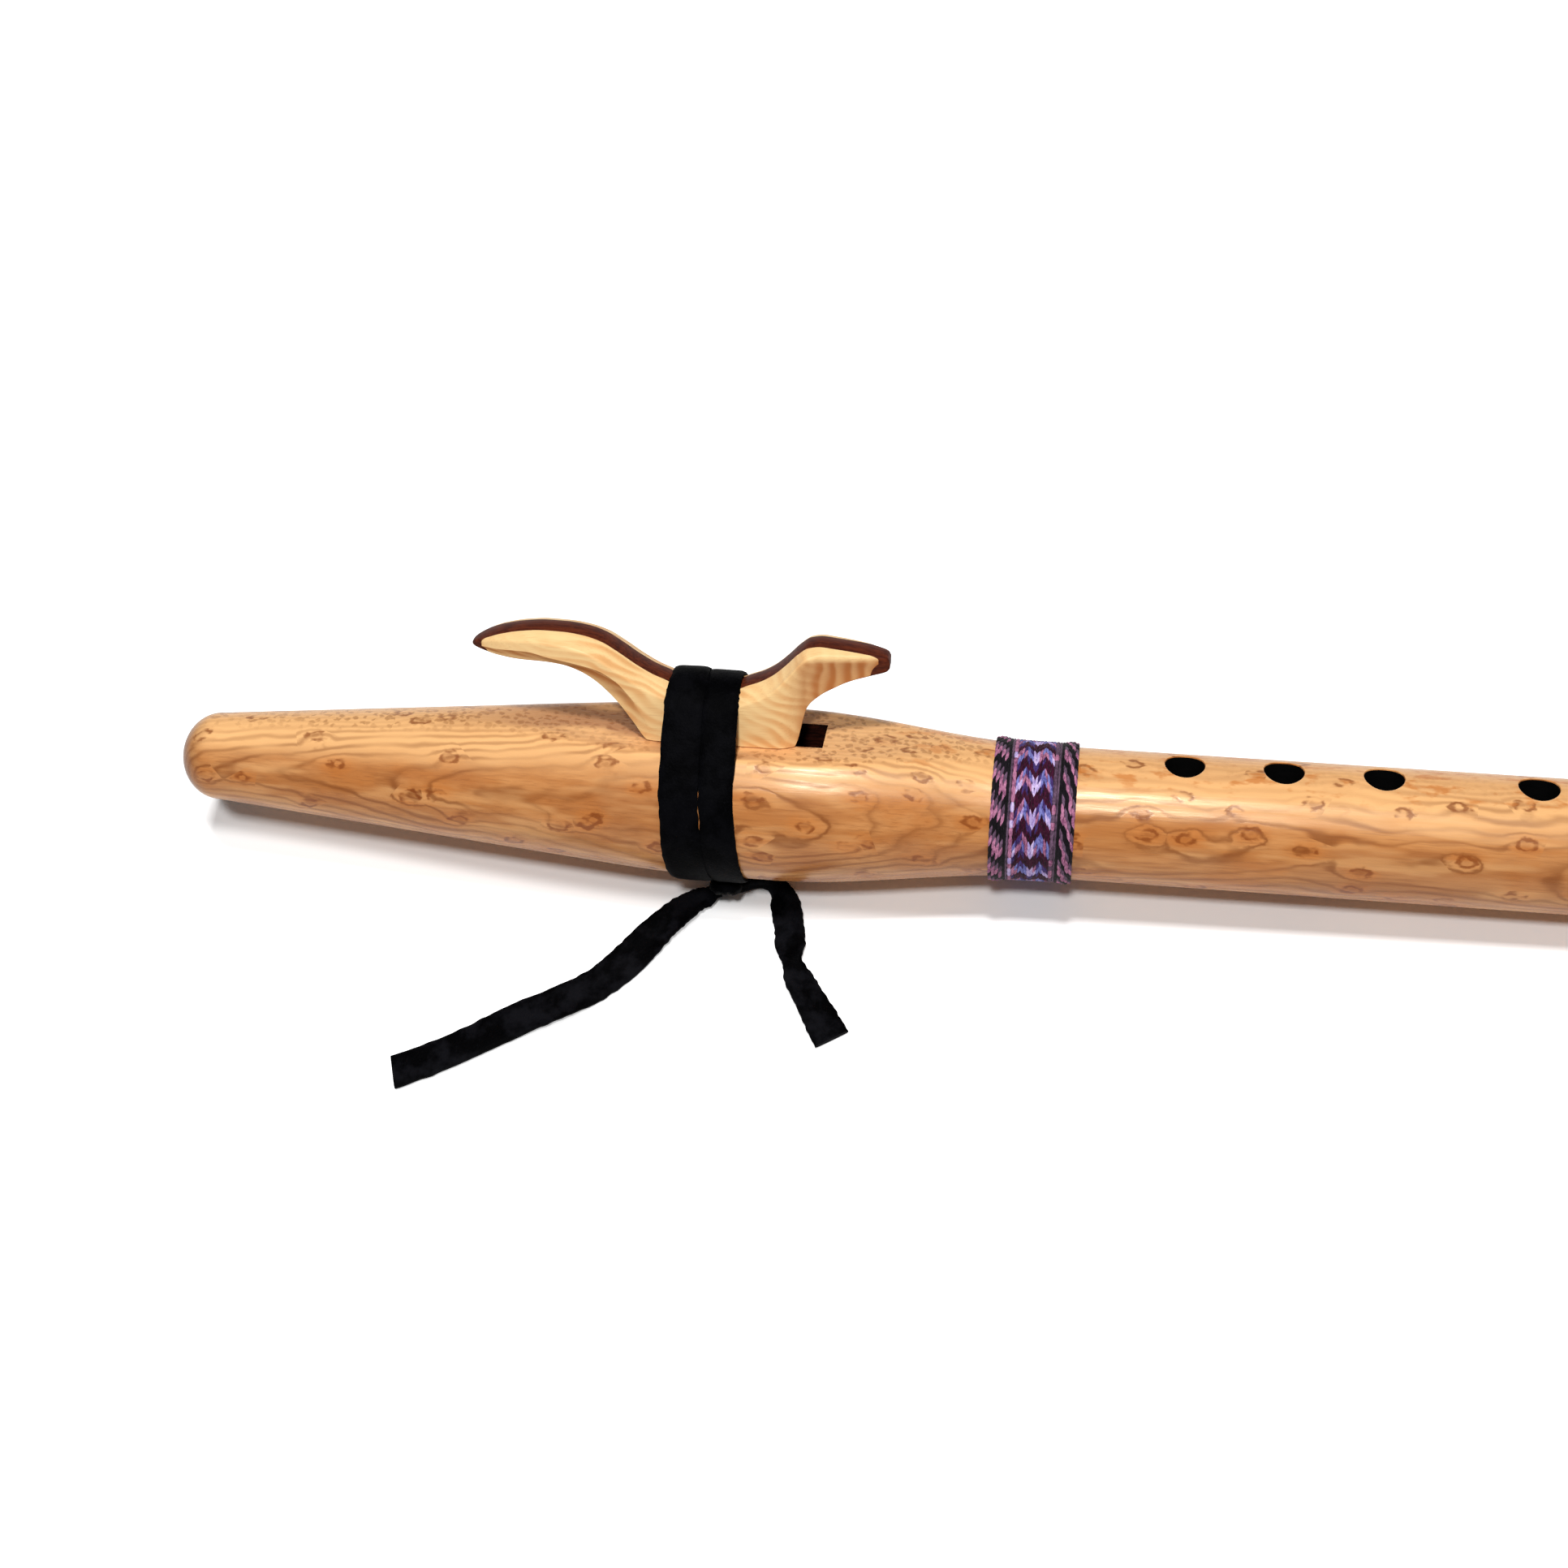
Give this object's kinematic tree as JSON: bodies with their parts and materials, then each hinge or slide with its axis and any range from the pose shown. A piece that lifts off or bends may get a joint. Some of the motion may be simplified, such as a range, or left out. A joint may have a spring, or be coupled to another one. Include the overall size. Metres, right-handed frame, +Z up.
{
  "type": "native american flute",
  "caption": "Wooden duct flute lying on its side, with a carved bird block tied over the sound hole by a leather lace, and a woven band round its body.",
  "frame": {"origin": "below the middle of the flute, without the loose lace ends, on the surface that it lies on", "axes": "+X along the flute towards its foot, +Z up from that surface, +Y to the side that the carved block leans to"},
  "size_m": [0.4396, 0.0958, 0.0624],
  "materials": {
    "maple": "oiled figured maple",
    "pale_wood": "oiled pale ash",
    "dark_wood": "oiled dark red hardwood",
    "leather": "matte black suede lace",
    "weave": "woven trim"
  },
  "bodies": {
    "flute": {"barrel_upper_half": "maple", "barrel_lower_half": "maple", "chamber_plug": "maple", "woven_band": "weave"},
    "block": {"block_front_lamina": "pale_wood", "block_core_lamina": "dark_wood", "block_rear_lamina": "pale_wood", "lace_winding": "leather", "lace_knot": "leather", "lace_tail_long": "leather", "lace_tail_short": "leather"}
  },
  "joints": [
    {"name": "block_slide", "type": "slide", "parent": "flute", "child": "block", "axis": [0.9996, 0, -0.0282], "range_m": [-0.003, 0.0065]}
  ]
}
